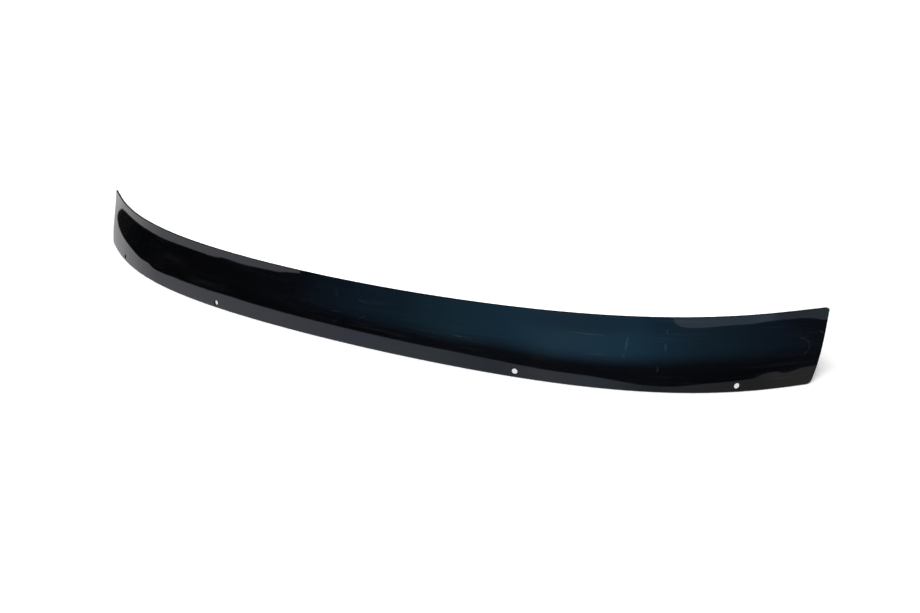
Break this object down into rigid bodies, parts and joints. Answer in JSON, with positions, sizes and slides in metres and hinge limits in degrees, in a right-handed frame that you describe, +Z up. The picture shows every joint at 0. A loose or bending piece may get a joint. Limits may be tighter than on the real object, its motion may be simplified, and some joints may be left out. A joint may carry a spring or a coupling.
{
  "type": "hood deflector",
  "caption": "Long swept strip of glossy black acrylic that clips along a car's hood edge and throws air, insects and stones over the windscreen.",
  "frame": {"origin": "centre of the bounding box's bottom face: on the surface the foot stands on, mid-width and mid-depth", "axes": "+X along the width of the hood, +Y back over the hood (the outer face looks toward -Y), +Z up"},
  "size_m": [1.2994, 0.1912, 0.0994],
  "materials": {
    "black_acrylic": "high-gloss black acrylic sheet with fine hairline scratches"
  },
  "bodies": {
    "root": {"shield": "black_acrylic"}
  },
  "joints": []
}
